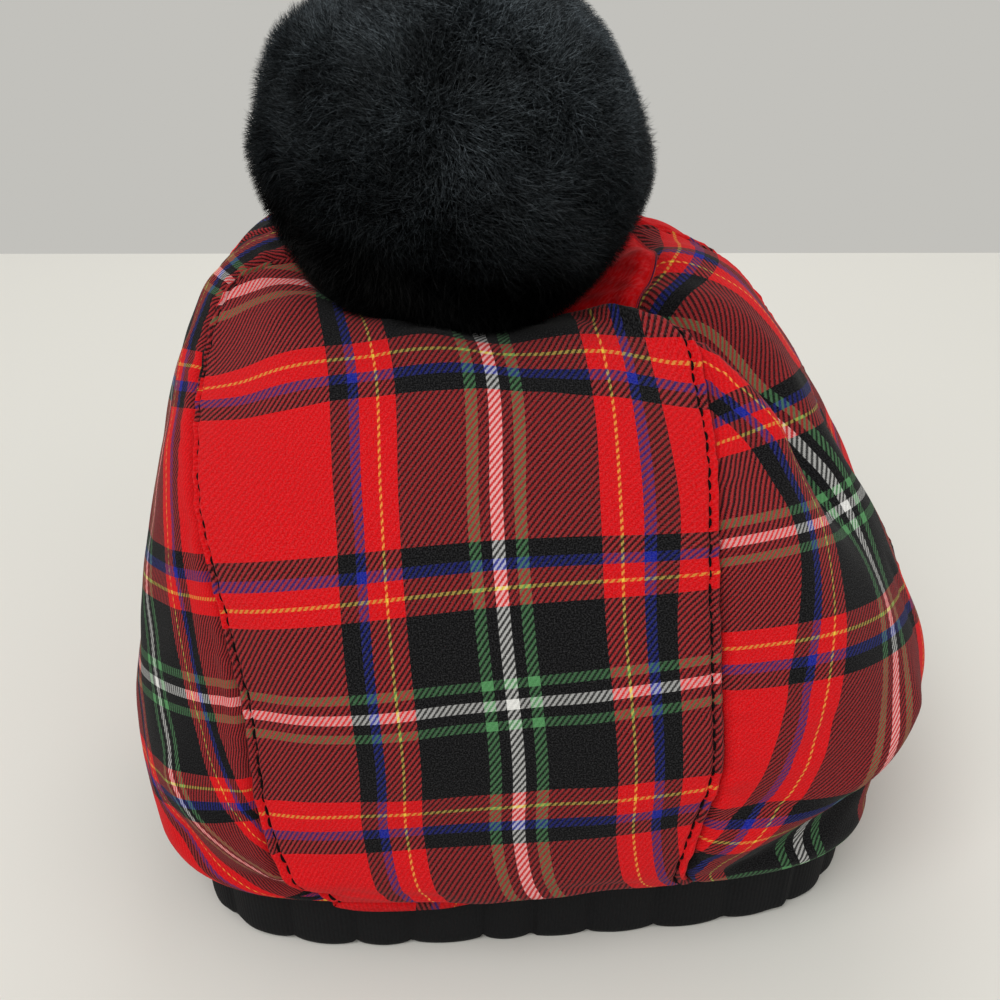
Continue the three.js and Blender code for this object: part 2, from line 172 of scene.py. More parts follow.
# Which gores carry the topstitching of the seam at their left and at their right.
STITCHED = {
    "front_panel": (True, True), "right_panel": (False, True), "back_right_panel": (False, True),
    "back_panel": (False, True), "back_left_panel": (False, True), "left_panel": (False, False),
}
# The stitches: their distance from the seam and sizes, in mm, the most they stand in from a seam as a
# share of the gore, the levels of the crown that they run between, and the first one's start, in mm.
STITCH_INSET, STITCH_LENGTH, STITCH_GAP, STITCH_RADIUS = 2.8, 2.7, 0.5, 0.36
STITCH_SHARE, STITCH_LEVELS, STITCH_SAMPLES, STITCH_START = 0.3, (2.1, 11.4), 700, 1.0
# Along one stitch: how far it stands out of the cloth, in mm, and its share of the radius.
STITCH_RISE = np.array([-0.25, 0.1, 0.24, 0.24, 0.1, -0.25])
STITCH_TAPER = np.array([0.35, 0.85, 1, 1, 0.85, 0.35])

# Cloth beside a seam: the height, distance from the seam and width of each swell or groove, in mm.
STITCHED_EDGE = [(1.0, 1.3, 1.0), (-0.75, STITCH_INSET, 0.5), (-0.9, 0, 0.3), (0.35, 4.4, 1.2)]
PLAIN_EDGE = [(-1.3, 0, 1.3), (0.3, 3.2, 1.6)]

# Puckers along the seams, in mm: two waves and the share of the second, their height, and the middle and
# width of the puckered strip.
SHORT_PUCKER, LONG_PUCKER, LONG_SHARE = 6.3, 9.1, 0.6
PUCKER_HEIGHT, PUCKER_MIDDLE, PUCKER_WIDTH = 0.26, 2.2, 4.5

# Unevenness of the cloth: waves of each length and height, in mm, in WAVES_EACH directions.
RIPPLES = [(90, 0.8), (55, 0.6), (34, 0.42), (21, 0.22), (12, 0.08)]
WAVES_EACH, RIPPLE_SHARE, RIPPLE_SEED = 3, 0.5, 11
# Puff of a gore between its seams: its height, in mm, and the share of it that lies under the rings.
PANEL_PUFF, PUFF_LOW = 2.6, 0.6
# The levels where folds, puffs and ripples come in above the hem and go out under the pompom.
FADE_IN, FADE_OUT = (1.9, 3), (10, 11.5)

# The right gore's tip is pieced on: a plain red end above a level, where its seam has a groove and a
# swell, with height in mm and middle and width in levels. All its cloth lies about the crossing of two
# wide reds: each TIP_RUN mm of the lay is drawn in to the share TIP_KEPT round that crossing.
TIP_LEVEL = 9.9
TIP_SEAM = [(-1.3, 0, 0.06), (0.6, 0.16, 0.09)]
RED_CROSSING, TIP_RUN, TIP_KEPT = (56, 57), 40, 0.3

# The hem's folded lip: its least and further drop, in mm, the bearing where it hangs lowest and its
# reach to each side, in degrees, and the levels between which it ends. Then the crease above it: its
# level, depth in mm and width in levels.
LIP_LEAST, LIP_DROP, LIP_LOWEST, LIP_REACH, LIP_END = 0.3, 3.8, -19, 11, (2.0, 2.3)
CREASE_LEVEL, CREASE_DEPTH, CREASE_WIDTH = 2.13, 2.2, 0.05

# The mesh of a gore: the zone beside each seam, in mm and at most as a share of the gore, its steps and
# those between, the steps for measuring a row, and the levels of the rows.
EDGE_ZONE, EDGE_SHARE, EDGE_STEPS, MIDDLE_STEPS, ROW_STEPS = 5.0, 0.2, 12, 44, 24
HEM_LEVELS = [0, 0.5, 1, 1.5, 2, 2.03, 2.06, 2.09, 2.12, 2.15, 2.18, 2.22, 2.26]
ROW_START, ROW_END, ROW_STEP, TOP_GAP = 2.31, 11.95, 1 / 16, 0.03

# The gathered band: the depth of its ribs in mm and their part on the inside, how round they are and
# their middle, and the spread of their sizes and shifts. Then how far the lower ends rise between them,
# in mm, how much lower than the part it stands, in mm, and its thickness at the edges as a share.
RIB_DEPTH, RIB_INSIDE, RIB_ROUND, RIB_MIDDLE = 1.5, 0.6, 0.6, 0.75
RIB_SIZES, RIB_SHIFT, RIB_WARP = (0.7, 1.25), 0.35, 0.6
SCALLOP, BAND_TOP_GAP, BAND_EDGE = 2.6, 0.2, 0.45
RIB_STEPS, BAND_ROWS, BAND_SEED = 16, 15, 5
# The joint of the band: its bearing and width in degrees and its swell in mm.
JOINT_BEARING, JOINT_WIDTH, JOINT_SWELL = 38, 1.3, 1.1

RING_EDGE = BAND_THICKNESS / 2 + HEM_GAP
RING_LIP = BAND_THICKNESS / 2 + HEM_OVERHANG
BAND_HALF_WIDTH = (BAND_WIDTH - BAND_THICKNESS) / 2
BAND_HALF_DEPTH = (BAND_DEPTH - BAND_THICKNESS) / 2


def ring_table():
    """All rings of the crown in mm, from the hem's inner edge to the crown's middle."""
    hem = BAND_HEIGHT + HEM_GAP
    half_width, half_depth = CROWN_WIDTH / 2, CROWN_DEPTH / 2

    def flat(grow, up):
        across, deep = BAND_HALF_WIDTH + grow, BAND_HALF_DEPTH + grow
        sides = [across - BAND_RIGHT, across + BAND_RIGHT, deep - BAND_BACK, deep + BAND_BACK]
        return sides + [up] * 4 + [BAND_SQUARENESS, BAND_TURN]

    rows = [flat(0, hem), flat(RING_EDGE, hem), flat(RING_LIP, hem - HEM_DROP)]
    for level in LEVELS:
        sides = [level[0] * half_width, level[1] * half_width, level[2] * half_depth, level[3] * half_depth]
        rows.append(sides + list(BAND_HEIGHT + level[4:8] * CROWN_RISE) + list(level[8:]))
    left, back = MIDDLE_LEFT * half_width, MIDDLE_BACK * half_depth
    rows.append([left, -left, -back, back] + [BAND_HEIGHT + MIDDLE_UP * CROWN_RISE] * 4 + [2, 0])
    return np.array(rows)


RINGS = ring_table()
LAST_LEVEL = len(RINGS) - 1
PANEL_LEVELS = np.r_[HEM_LEVELS, np.arange(ROW_START, ROW_END, ROW_STEP), LAST_LEVEL - TOP_GAP]


def between(rows, place):
    """Rows of a table at any place, on a smooth curve through them."""
    rows = np.asarray(rows, float)
    last = len(rows) - 1
    place = np.asarray(place, float)
    index = np.clip(np.floor(place).astype(int), 0, last - 1)
    f = (place - index)[..., None]
    before, after = rows[index], rows[index + 1]
    step = after - before
    slope_in = np.where((index == 0)[..., None], step, (after - rows[np.maximum(index - 1, 0)]) / 2)
    beyond = rows[np.minimum(index + 2, last)]
    slope_out = np.where((index == last - 1)[..., None], step, (beyond - before) / 2)
    bend = 3 * step - 2 * slope_in - slope_out
    return before + f * (slope_in + f * (bend + f * (slope_in + slope_out - 2 * step)))


def smoothstep(x, low, high):
    """A soft step from 0 at low to 1 at high."""
    t = np.clip((x - low) / (high - low), 0, 1)
    return t * t * (3 - 2 * t)


def seam_bearing(seam, level):
    """A seam's bearing in radians at a level, past a full turn for the seam after the last gore."""
    turns, which = divmod(seam, len(SEAMS))
    return np.radians(between(SEAMS[which][:, None], np.asarray(level) / 2)[..., 0]) + turns * 2 * np.pi


def ring_at(level):
    """The ring at a level: straight between the hem's three, smooth above them."""
    level = np.asarray(level, float)
    low = np.clip(np.floor(level).astype(int), 0, 1)
    f = np.clip(level - low, 0, 1)[..., None]
    straight = RINGS[low] * (1 - f) + RINGS[low + 1] * f
    return np.where((level < 2)[..., None], straight, between(RINGS, level))


def ring_point(left, right, front, back, square, turn, bearing):
    """A point on a ring seen from above: a rounded box from its reach to each side, turned."""
    s, c = np.sin(bearing), np.cos(bearing)
    reach = (np.abs(s) ** square + np.abs(c) ** square) ** (-1 / square)
    x = (right - left) / 2 + (right + left) / 2 * reach * s
    y = (back - front) / 2 - (back + front) / 2 * reach * c
    angle = np.radians(turn)
    return x * np.cos(angle) - y * np.sin(angle), x * np.sin(angle) + y * np.cos(angle)


def plain_point(bearing, level):
    """A point of the crown without its folds, in mm."""
    left, right, front, back, up_f, up_r, up_b, up_l, square, turn = np.moveaxis(ring_at(level), -1, 0)
    mean = (up_f + up_r + up_b + up_l) / 4
    tilt = ((up_f - up_b) * np.cos(bearing) + (up_r - up_l) * np.sin(bearing)) / 2
    saddle = (up_f + up_b - up_r - up_l) / 4 * np.cos(2 * bearing)
    x, y = ring_point(left, right, front, back, square, turn, bearing)
    return np.stack([x, y, mean + tilt + saddle], -1)


# About how long a radian and a level of the crown are, in mm, for the sizes of folds.
LENGTH_PER_RADIAN = (CROWN_WIDTH + CROWN_DEPTH) / 4
LENGTH_PER_LEVEL = CROWN_RISE / 7


def fold_lift(bearing, level, folds):
    """Height of the folds at a place of the crown, in mm."""
    lift = np.zeros(np.broadcast(bearing, level).shape)
    for b0, b1, l0, l1, width, height in folds:
        start = np.array([np.radians(b0) * LENGTH_PER_RADIAN, l0 * LENGTH_PER_LEVEL])
        end = np.array([np.radians(b1) * LENGTH_PER_RADIAN, l1 * LENGTH_PER_LEVEL])
        middle = np.radians((b0 + b1) / 2)
        near = bearing + np.round((middle - bearing) / (2 * np.pi)) * 2 * np.pi
        place = np.stack([near * LENGTH_PER_RADIAN, level * LENGTH_PER_LEVEL], -1)
        line = end - start
        along = np.clip(((place - start) @ line) / (line @ line), 0, 1)
        away = np.linalg.norm(place - (start + along[..., None] * line), axis=-1)
        lift += height * CROWN_RISE * np.exp(-((away / (width * CROWN_RISE)) ** 2))
    return lift


POMPOM = np.array([
    -MIDDLE_LEFT * CROWN_WIDTH / 2,
    (MIDDLE_BACK - POMPOM_FORWARD) * CROWN_DEPTH / 2,
    BAND_HEIGHT + MIDDLE_UP * CROWN_RISE + POMPOM_SEAT + POMPOM_HEIGHT / 2,
])


def fade(level):
    """How much of the folds shows: none at the hem and the crown's middle."""
    return smoothstep(level, *FADE_IN) * (1 - smoothstep(level, *FADE_OUT))


def pressed(points):
    """Keeps the cloth under the pompom's underside."""
    side = np.hypot(points[..., 0] - POMPOM[0], points[..., 1] - POMPOM[1]) / (POMPOM_WIDTH / 2)
    under = POMPOM[2] - POMPOM_HEIGHT / 2 * np.sqrt(np.clip(1 - side**2, 0, 1)) - POMPOM_SEAT
    out = points.copy()
    out[..., 2] = np.where(side < 1, np.minimum(points[..., 2], under), points[..., 2])
    return out


def plain_normal(bearing, level):
    """The way out of the crown without its folds."""
    tiny = 1e-4
    low = np.clip(level, 0, LAST_LEVEL - 2 * tiny)
    here = plain_point(bearing, low)
    across = plain_point(bearing + tiny, low) - here
    up = plain_point(bearing, low + tiny) - here
    normal = np.cross(across, up)
    return normal / np.maximum(np.linalg.norm(normal, axis=-1, keepdims=True), 1e-12)


def ripple(bearing, level):
    """Soft unevenness of the cloth: a few crossed waves, in mm."""
    rng = np.random.default_rng(RIPPLE_SEED)
    x, y = bearing * LENGTH_PER_RADIAN, level * LENGTH_PER_LEVEL
    out = 0
    for wave, height in RIPPLES:
        for _ in range(WAVES_EACH):
            turn, phase = rng.uniform(0, 2 * np.pi, 2)
            out = out + height * np.sin((x * np.cos(turn) + y * np.sin(turn)) * 2 * np.pi / wave + phase)
    return out * RIPPLE_SHARE


def shares(width):
    """Places across a gore of this width: close together beside the seams."""
    zone = np.minimum(EDGE_ZONE / np.maximum(width, 1), EDGE_SHARE)
    edge = np.linspace(0, 1, EDGE_STEPS + 1)[:-1]
    middle = np.linspace(0, 1, MIDDLE_STEPS + 1)
    left = zone[:, None] * edge[None, :]
    inner = zone[:, None] + (1 - 2 * zone[:, None]) * middle[None, :]
    return np.concatenate([left, inner, 1 - left[:, ::-1]], 1)


def bumps(place, table):
    """The sum of rounded bumps, each with its height, middle and width."""
    return sum(height * np.exp(-(((place - middle) / width) ** 2)) for height, middle, width in table)


def puckers(run, away, seed):
    """Height of the puckers at a run along a seam and a distance from it, in mm."""
    short = np.sin(run / SHORT_PUCKER * 2 * np.pi + seed)
    long = LONG_SHARE * np.sin(run / LONG_PUCKER * 2 * np.pi + 2 * seed)
    return (short + long) * bumps(away, [(PUCKER_HEIGHT, PUCKER_MIDDLE, PUCKER_WIDTH)])


def hem_lip(bearing, level):
    """How far the hem's folded lip hangs down, and the crease above it, in mm."""
    from_lowest = (np.degrees(bearing) - LIP_LOWEST) / LIP_REACH
    drop = LIP_LEAST + LIP_DROP * np.exp(-(from_lowest**4))
    hang = np.clip(level - 1, 0, 1) * (1 - smoothstep(level, *LIP_END))
    return drop * hang, bumps(level, [(CREASE_DEPTH, CREASE_LEVEL, CREASE_WIDTH)])


def panel_surface(panel, level):
    """Points, places across and widths of a gore's outer face, a row for each level."""
    left, right = seam_bearing(panel, level), seam_bearing(panel + 1, level)
    coarse = left[:, None] + (right - left)[:, None] * np.linspace(0, 1, ROW_STEPS + 1)
    span = plain_point(coarse, level[:, None] + np.zeros_like(coarse))
    width = np.linalg.norm(np.diff(span, axis=1), axis=2).sum(1)
    share = shares(width)
    bearing = left[:, None] + (right - left)[:, None] * share
    levels = level[:, None] + np.zeros_like(share)
    lift = PANEL_PUFF * (np.sqrt(np.maximum(0, 4 * share * (1 - share))) - PUFF_LOW)
    lift += fold_lift(bearing, levels, FOLDS)
    lift += fold_lift(bearing, levels, CREASES)
    lift += ripple(bearing, levels)
    run = np.cumsum(np.r_[0, np.linalg.norm(np.diff(span[:, ROW_STEPS // 2], axis=0), axis=1)])[:, None]
    for side, part in enumerate((share, 1 - share)):
        away = part * width[:, None]
        lift += bumps(away, STITCHED_EDGE if STITCHED[PANELS[panel]][side] else PLAIN_EDGE)
        lift += puckers(run, away, panel + side)
    if PANELS[panel] == "right_panel":
        lift += bumps(levels - TIP_LEVEL, TIP_SEAM)
    hang, crease = hem_lip(bearing, levels)
    height = lift * fade(levels) - crease
    points = pressed(plain_point(bearing, levels) + plain_normal(bearing, levels) * height[..., None])
    points[..., 2] -= hang
    return points, share, width


def surface_normals(points):
    """The way out at each point of a grid."""
    across = np.gradient(points, axis=1)
    up = np.gradient(points, axis=0)
    normal = np.cross(across, up)
    return normal / np.maximum(np.linalg.norm(normal, axis=-1, keepdims=True), 1e-9)


# Where the hat's middle is in the frame, in m, from the band's box.
BAND_LOW, BAND_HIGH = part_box("band")
BAND_MIDDLE = np.array([(BAND_LOW.x + BAND_HIGH.x) / 2, (BAND_LOW.y + BAND_HIGH.y) / 2, 0])
ASKEW = math.radians(BAND_TURN)
SHIFT = BAND_MIDDLE - MM * np.array([
    BAND_RIGHT * math.cos(ASKEW) - BAND_BACK * math.sin(ASKEW),
    BAND_RIGHT * math.sin(ASKEW) + BAND_BACK * math.cos(ASKEW), 0])


def make_mesh(name, points, faces, look, uv=None):
    """A smooth mesh object from points in mm and quads or triangles, with an optional map of the cloth."""
    mesh = bpy.data.meshes.new(name)
    points = points.reshape(-1, 3) * MM + SHIFT
    faces = np.asarray(faces, np.int32)
    corners = faces.shape[1]
    mesh.vertices.add(len(points))
    mesh.vertices.foreach_set("co", points.astype(np.float32).ravel())
    mesh.loops.add(faces.size)
    mesh.loops.foreach_set("vertex_index", faces.ravel())
    mesh.polygons.add(len(faces))
    mesh.polygons.foreach_set("loop_start", np.arange(0, faces.size, corners, dtype=np.int32))
    mesh.polygons.foreach_set("use_smooth", np.ones(len(faces), bool))
    mesh.update(calc_edges=True)
    if uv is not None:
        layer = mesh.uv_layers.new(name="cloth")
        layer.data.foreach_set("uv", uv.reshape(-1, 2)[faces.ravel()].astype(np.float32).ravel())
    mesh.validate()
    mesh.materials.append(look)
    piece = bpy.data.objects.new(name, mesh)
    bpy.context.scene.collection.objects.link(piece)
    return piece


def grid_faces(rows, cols, start=0, flip=False, wrap=False):
    """Quads between the points of a grid, closed to a loop if wrapped."""
    r = np.arange(rows - 1)[:, None]
    c = np.arange(cols if wrap else cols - 1)[None, :]
    after = (c + 1) % cols
    low, high = r * cols, (r + 1) * cols
    quads = np.stack([low + c, low + after, high + after, high + c], -1).reshape(-1, 4)
    if flip:
        quads = quads[:, ::-1]
    return quads + start


def shell_faces(rows, cols):
    """Quads of a closed shell: outer grid, inner grid after it, and the edges between them."""
    size = rows * cols
    outer = grid_faces(rows, cols)
    inner = grid_faces(rows, cols, size, flip=True)
    rim = np.concatenate([
        np.arange(cols), np.arange(1, rows) * cols + cols - 1,
        (rows - 1) * cols + np.arange(cols - 2, -1, -1), np.arange(rows - 2, 0, -1) * cols])
    after = np.roll(rim, -1)
    edge = np.stack([after, rim, rim + size, after + size], -1)
    return np.concatenate([outer, inner, edge])


def node(tree, kind, inputs=(), **settings):
    """A new node with its settings, its inputs set to values or linked to sockets."""
    made = tree.nodes.new(kind)
    for key, value in settings.items():
        setattr(made, key, value)
    for place, value in inputs:
        if isinstance(value, bpy.types.NodeSocket):
            tree.links.new(value, made.inputs[place])
        else:
            made.inputs[place].default_value = value
    return made


def blend(tree, share, first, second, kind="MIX"):
    """Two colours mixed, or the darker of them."""
    colours = [(0, share), (6, first), (7, second)]
    return node(tree, "ShaderNodeMix", colours, data_type="RGBA", blend_type=kind).outputs[2]


def vectors(tree, operation, first, second):
    """The outputs of a vector node on two values."""
    return node(tree, "ShaderNodeVectorMath", [(0, first), (1, second)], operation=operation).outputs


def scaled(tree, colour, by):
    """A colour made brighter or darker."""
    return node(tree, "ShaderNodeVectorMath", [(0, colour), ("Scale", by)], operation="SCALE").outputs[0]


def ranged(tree, value, low, high, to_low, to_high):
    """A value moved from one range to another."""
    inputs = enumerate([value, low, high, to_low, to_high])
    return node(tree, "ShaderNodeMapRange", inputs).outputs[0]


def noise(tree, place, scale, detail, rough=0.5):
    """Noise from 0 to 1."""
    inputs = [("Vector", place), ("Scale", scale), ("Detail", detail), ("Roughness", rough)]
    return node(tree, "ShaderNodeTexNoise", inputs).outputs[0]


def emboss(tree, shader, relief, strength, distance):
    """Bumps a surface by a relief, with its distance in m."""
    inputs = [("Height", relief), ("Strength", strength), ("Distance", distance)]
    tree.links.new(node(tree, "ShaderNodeBump", inputs).outputs[0], shader.inputs["Normal"])


def maths(tree, operation, *values):
    """A number worked out from one or two others."""
    return node(tree, "ShaderNodeMath", list(enumerate(values)), operation=operation).outputs[0]


def material(name, rough, sheen, specular):
    """A new material, its node tree and its shader."""
    made = bpy.data.materials.new(name)
    made.use_nodes = True
    shader = made.node_tree.nodes["Principled BSDF"]
    shader.inputs["Roughness"].default_value = rough
    shader.inputs["Sheen Weight"].default_value = sheen
    shader.inputs["Specular IOR Level"].default_value = specular
    return made, made.node_tree, shader


def stripes(tree, place, column):
    """The tartan's colour at a place across or along the cloth."""
    widths = [row[column] for row in SETT]
    half = sum(widths)
    folded = maths(tree, "PINGPONG", place, half)
    ramp = node(tree, "ShaderNodeValToRGB", [(0, maths(tree, "DIVIDE", folded, half))])
    ramp.color_ramp.interpolation = "CONSTANT"
    stops = ramp.color_ramp.elements
    start = 0
    for index, row in enumerate(SETT):
        stop = stops[index] if index < 2 else stops.new(start / half)
        stop.position = start / half
        stop.color = (*DYES[row[0]], 1)
        start += row[column]
    return ramp.outputs[0]


# The twill: how far its steps are cut into yarns and how much they waver, in yarns, how steeply one
# yarn goes over the next, and the least that shows of the one below.
TWILL_STEP, TWILL_WAVER, TWILL_SLOPE, TWILL_LEAST = 0.6, 1.3, 4.5, 0.07
# How much the darker yarn darkens a crossing, partly its fuzz and partly painted shade where the lighter
# yarn sinks under it; the grey fibre that its contrast leaves in sight, partly fuzz and partly a painted
# highlight on the lighter yarn's floats; and the specks everywhere.
DARKER_SHARE, FIBRE_AND_HIGHLIGHT, SPECKS, LEAST_COLOUR = 0.5, (0.03, 0.025, 0.02), 0.09, 0.001
# Light and relief of the cloth: a base, and the parts of the nap, the twill's ridges and single yarns. The
# light is painted on the colour: the nap's part is random tone, the twill's painted shade in its valleys.
CLOTH_BASE, CLOTH_NAP, TWILL_SHADE = 0.56, 0.6, 0.48
RELIEF_NAP, RELIEF_TWILL, RELIEF_YARN = 0.6, 0.7, 0.12


def twill_wave(tree, ends, picks, fuzz):
    """The wave across the diagonals of a two-over-two twill, from 0 to a half."""
    waver = maths(tree, "MULTIPLY", maths(tree, "SUBTRACT", fuzz, 0.5), TWILL_WAVER)
    inside = maths(tree, "SUBTRACT", maths(tree, "FRACT", ends), 0.5)
    stepped = maths(tree, "SUBTRACT", ends, maths(tree, "MULTIPLY", inside, TWILL_STEP))
    diagonal = maths(tree, "DIVIDE", maths(tree, "ADD", maths(tree, "SUBTRACT", stepped, picks), waver), 4)
    return maths(tree, "PINGPONG", diagonal, 0.5)


def woven_colour(tree, warp, weft, wave, fuzz):
    """The colour of two crossing yarns, with grey fibre and a painted highlight over it where they differ.
    """
    over = maths(tree, "MULTIPLY", maths(tree, "SUBTRACT", wave, 0.25), TWILL_SLOPE)
    limits = [(0, maths(tree, "ADD", over, 0.5)), (1, TWILL_LEAST), (2, 1 - TWILL_LEAST)]
    crossed = blend(tree, node(tree, "ShaderNodeClamp", limits).outputs[0], weft, warp)
    darker = blend(tree, 1.0, weft, warp, "DARKEN")
    # Painted shade in part: the lighter yarn darkened where it sinks under the darker.
    weave = blend(tree, DARKER_SHARE, crossed, darker)
    contrast = vectors(tree, "SUBTRACT", crossed, darker)[0]
    # Partly a painted highlight: grey added where the lighter yarn floats on top.
    fibre_and_highlight = vectors(tree, "DOT_PRODUCT", contrast, FIBRE_AND_HIGHLIGHT)["Value"]
    speck = maths(tree, "MULTIPLY", maths(tree, "SUBTRACT", fuzz, 0.5), SPECKS)
    fuzzy = vectors(tree, "ADD", weave, maths(tree, "ADD", fibre_and_highlight, speck))[0]
    return vectors(tree, "MAXIMUM", fuzzy, (LEAST_COLOUR,) * 3)[0]


def tartan_material(name):
    """Flannel of a twill tartan, woven from the sett at each place of the cloth."""
    made, tree, shader = material(name, rough=0.9, sheen=0.04, specular=0.1)
    cloth = node(tree, "ShaderNodeUVMap", uv_map="cloth").outputs[0]
    across, along = node(tree, "ShaderNodeSeparateXYZ", [(0, cloth)]).outputs[:2]
    ends, picks = maths(tree, "DIVIDE", across, END_PITCH), maths(tree, "DIVIDE", along, PICK_PITCH)
    fuzz = noise(tree, cloth, scale=2.6, detail=2)
    nap = noise(tree, cloth, scale=0.9, detail=6, rough=0.7)
    wave = twill_wave(tree, ends, picks, fuzz)
    colour = woven_colour(tree, stripes(tree, across, 1), stripes(tree, along, 2), wave, fuzz)
    light = maths(tree, "ADD", maths(tree, "MULTIPLY", nap, CLOTH_NAP), CLOTH_BASE)
    # Painted shade: the colour darker in the twill's valleys, lighter on its ridges.
    light = maths(tree, "ADD", light, maths(tree, "MULTIPLY", wave, TWILL_SHADE))
    tree.links.new(scaled(tree, colour, light), shader.inputs["Base Color"])
    yarns = [maths(tree, "SINE", maths(tree, "MULTIPLY", count, 2 * math.pi)) for count in (ends, picks)]
    ridges = maths(tree, "MULTIPLY", maths(tree, "ADD", *yarns), RELIEF_YARN)
    relief = maths(tree, "ADD", maths(tree, "MULTIPLY", wave, RELIEF_TWILL), ridges)
    relief = maths(tree, "ADD", relief, maths(tree, "MULTIPLY", nap, RELIEF_NAP))
    emboss(tree, shader, relief, strength=0.5, distance=0.0002)
    return made


def thread_material():
    made, _, shader = material("black_thread", rough=0.9, sheen=0, specular=0.1)
    shader.inputs["Base Color"].default_value = (0.003, 0.003, 0.003, 1)
    return made


# The elastic: the pitch of its fine ribs, in mm, the ribs' part of its relief, and its two tones.
ELASTIC_PITCH, ELASTIC_RIB = 0.9, 0.3
ELASTIC_TONES = [(0.003, 0.003, 0.0035, 1), (0.012, 0.0125, 0.014, 1)]


def elastic_material():
    made, tree, shader = material("black_elastic", rough=0.85, sheen=0, specular=0.14)
    cloth = node(tree, "ShaderNodeUVMap", uv_map="cloth").outputs[0]
    stretch = node(tree, "ShaderNodeMapping", [(0, cloth), ("Scale", (1.6, 0.5, 1))]).outputs[0]
    grain = noise(tree, stretch, scale=1.5, detail=5)
    tone = node(tree, "ShaderNodeValToRGB", [(0, grain)])
    for stop, colour in zip(tone.color_ramp.elements, ELASTIC_TONES):
        stop.color = colour
    tree.links.new(tone.outputs[0], shader.inputs["Base Color"])
    run = node(tree, "ShaderNodeSeparateXYZ", [(0, cloth)]).outputs[0]
    rib = maths(tree, "SINE", maths(tree, "MULTIPLY", run, 2 * math.pi / ELASTIC_PITCH))
    relief = maths(tree, "ADD", maths(tree, "MULTIPLY", rib, ELASTIC_RIB), grain)
    emboss(tree, shader, relief, strength=0.6, distance=0.0003)
    return made


# Tones of the fur, with painted light and shade: how far the painted light stands to the right, the depth
# in m from the top down to the darkest painted shade, the least and most painted light, the range of the
# hairs' noise with what it comes to, and the patches' places on their ramp with their colours.
FUR_LIT_SIDE, FUR_LIT_DEPTH, FUR_PAINTED_LIGHT = 0.25, 0.072, (0.2, 15.5)
FUR_GRAIN = 0.38, 0.66, 0.3, 1.9
FUR_TONES = [(0.35, (0.0025, 0.0029, 0.0032)), (0.75, (0.0062, 0.0074, 0.0083))]


def fur_material(name, shade, gloss):
    """Black fur with painted light at the top and a little to the right, and a grain of single hairs."""
    made, tree, shader = material(name, rough=0.5, sheen=0, specular=gloss)
    spot = node(tree, "ShaderNodeTexCoord").outputs["Object"]
    # Painted light and shade: the colour lighter at the top and a little to the right, darker downwards.
    height = vectors(tree, "DOT_PRODUCT", spot, (FUR_LIT_SIDE, 0, 1))["Value"]
    top = (POMPOM[2] + POMPOM_HEIGHT / 2) * MM + FUR_LIT_SIDE * (POMPOM[0] * MM + SHIFT[0])
    painted_light = ranged(tree, height, top - FUR_LIT_DEPTH, top, *FUR_PAINTED_LIGHT)
    tone = node(tree, "ShaderNodeValToRGB", [(0, noise(tree, spot, scale=70, detail=4))])
    for stop, (position, colour) in zip(tone.color_ramp.elements, FUR_TONES):
        stop.position = position
        stop.color = (*[part * shade for part in colour], 1)
    grain = ranged(tree, noise(tree, spot, scale=1100, detail=2), *FUR_GRAIN)
    light = maths(tree, "MULTIPLY", painted_light, grain)
    tree.links.new(scaled(tree, tone.outputs[0], light), shader.inputs["Base Color"])
    return made


def cloth_map(panel, points, share):
    """Place in the cloth, in mm from a crossing of white lines, of each point of a gore."""
    across_0, up_0, rows = LAYS[PANELS[panel]]
    middle = share.shape[1] // 2
    steps = np.linalg.norm(np.diff(points, axis=1), axis=2)
    across = np.concatenate([np.zeros((len(points), 1)), np.cumsum(steps, 1)], 1)
    across -= across[:, middle:middle + 1]
    up = np.cumsum(np.r_[0, np.linalg.norm(np.diff(points[:, middle], axis=0), axis=1)])
    lay = between(rows, np.clip(up / LAY_STEP, 0, len(rows) - 1))
    lean, slope, bow, lift, spread, squeeze, curl = np.moveaxis(lay, -1, 0)[..., None]
    out = across / LAY_REACH
    u = across - spread * out - squeeze * out**2 - curl * out**3 - across_0 - lean
    cloth = np.stack([u, up[:, None] - up_0 + lift - slope * out - bow * out**2], -1)
    if PANELS[panel] == "right_panel":
        tip = PANEL_LEVELS > TIP_LEVEL
        cloth[tip] = np.array(RED_CROSSING) + TIP_KEPT * (cloth[tip] % TIP_RUN - TIP_RUN / 2)
    return cloth


def make_panel(panel, cloth):
    """One gore: a shell of cloth over the crown."""
    name = PANELS[panel]
    points, share, _ = panel_surface(panel, PANEL_LEVELS)
    inner = points - surface_normals(points) * CLOTH_THICKNESS
    uv = cloth_map(panel, points, share)
    faces = shell_faces(*share.shape)
    piece = make_mesh(name + "_cloth", np.stack([points, inner]), faces, cloth, np.stack([uv, uv]))
    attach(piece, "root")
    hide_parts(name)


THREAD_SIDES = 6
# A direction that no stitch runs along.
THREAD_ASIDE = 0.13, 0.21, 0.97


def tube(path, radius):
    """Points and quads of a round thread along a path, with a radius at each of its points."""
    along = np.gradient(path, axis=0)
    along /= np.linalg.norm(along, axis=1, keepdims=True)
    side = np.cross(along, THREAD_ASIDE)
    side /= np.linalg.norm(side, axis=1, keepdims=True)
    up = np.cross(side, along)
    turn = np.arange(THREAD_SIDES) * 2 * np.pi / THREAD_SIDES
    ring = np.cos(turn)[None, :, None] * side[:, None] + np.sin(turn)[None, :, None] * up[:, None]
    points = path[:, None] + ring * radius[:, None, None]
    return points.reshape(-1, 3), grid_faces(len(path), THREAD_SIDES, wrap=True)


def along_seam(place, share, rows):
    """What stands at a place across each row of a gore."""
    found = [[np.interp(at, s, row[:, k]) for k in range(3)] for at, s, row in zip(place, share, rows)]
    return np.array(found)


